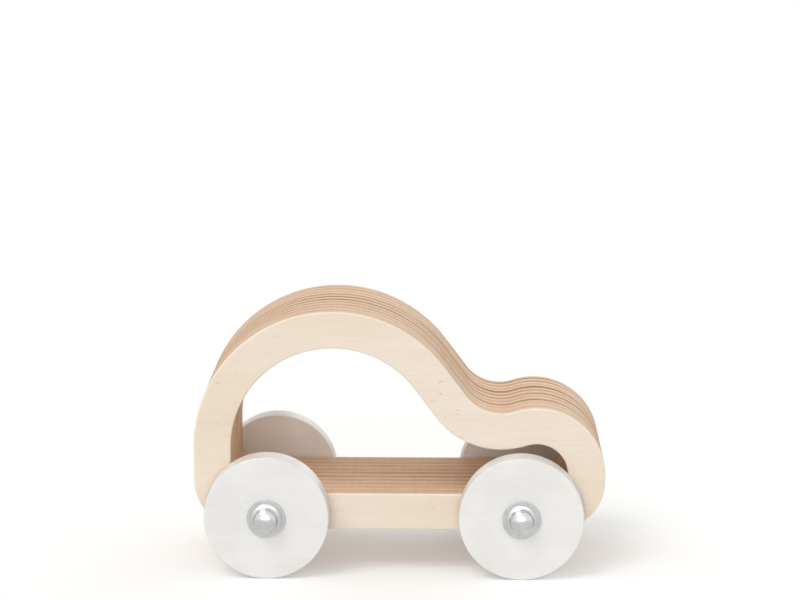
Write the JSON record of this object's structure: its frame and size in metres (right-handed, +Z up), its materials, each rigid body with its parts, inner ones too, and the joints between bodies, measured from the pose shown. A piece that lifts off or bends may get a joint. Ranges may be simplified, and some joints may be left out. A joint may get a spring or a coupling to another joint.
{
  "type": "wooden push car",
  "caption": "Toy push car cut as one closed plywood band with a round roof, an open hand window, a low bonnet and plain white disc wheels on steel axles.",
  "frame": {"origin": "on the ground under the middle of the car's overall box", "axes": "+X towards the nose, +Y towards the car's left side, +Z up"},
  "size_m": [0.1656, 0.095, 0.1069],
  "materials": {
    "birch_plywood": "sanded pale plywood, many plies on the sawn edges, clear matt oil",
    "white_lacquered_wood": "smooth white satin lacquer",
    "nylon": "natural nylon",
    "steel_rod": "bright drawn steel",
    "steel_cap": "polished pressed steel"
  },
  "bodies": {
    "chassis": {"body": "birch_plywood", "axle_front": "steel_rod", "axle_rear": "steel_rod", "inner_washer_front_left": "nylon", "outer_washer_front_left": "steel_rod", "axle_cap_front_left": "steel_cap", "inner_washer_front_right": "nylon", "outer_washer_front_right": "steel_rod", "axle_cap_front_right": "steel_cap", "inner_washer_rear_left": "nylon", "outer_washer_rear_left": "steel_rod", "axle_cap_rear_left": "steel_cap", "inner_washer_rear_right": "nylon", "outer_washer_rear_right": "steel_rod", "axle_cap_rear_right": "steel_cap"},
    "front_left_wheel": {"wheel_front_left": "white_lacquered_wood", "hub_bush_front_left": "nylon"},
    "front_right_wheel": {"wheel_front_right": "white_lacquered_wood", "hub_bush_front_right": "nylon"},
    "rear_left_wheel": {"wheel_rear_left": "white_lacquered_wood", "hub_bush_rear_left": "nylon"},
    "rear_right_wheel": {"wheel_rear_right": "white_lacquered_wood", "hub_bush_rear_right": "nylon"}
  },
  "joints": [
    {"name": "front_left_wheel_spin", "type": "hinge", "parent": "chassis", "child": "front_left_wheel", "pos_m": [0.04905, 0.0362, 0.025], "axis": [0, 1, 0], "continuous": true},
    {"name": "front_right_wheel_spin", "type": "hinge", "parent": "chassis", "child": "front_right_wheel", "pos_m": [0.04905, -0.0362, 0.025], "axis": [0, 1, 0], "continuous": true},
    {"name": "rear_left_wheel_spin", "type": "hinge", "parent": "chassis", "child": "rear_left_wheel", "pos_m": [-0.05295, 0.0362, 0.025], "axis": [0, 1, 0], "continuous": true},
    {"name": "rear_right_wheel_spin", "type": "hinge", "parent": "chassis", "child": "rear_right_wheel", "pos_m": [-0.05295, -0.0362, 0.025], "axis": [0, 1, 0], "continuous": true}
  ]
}
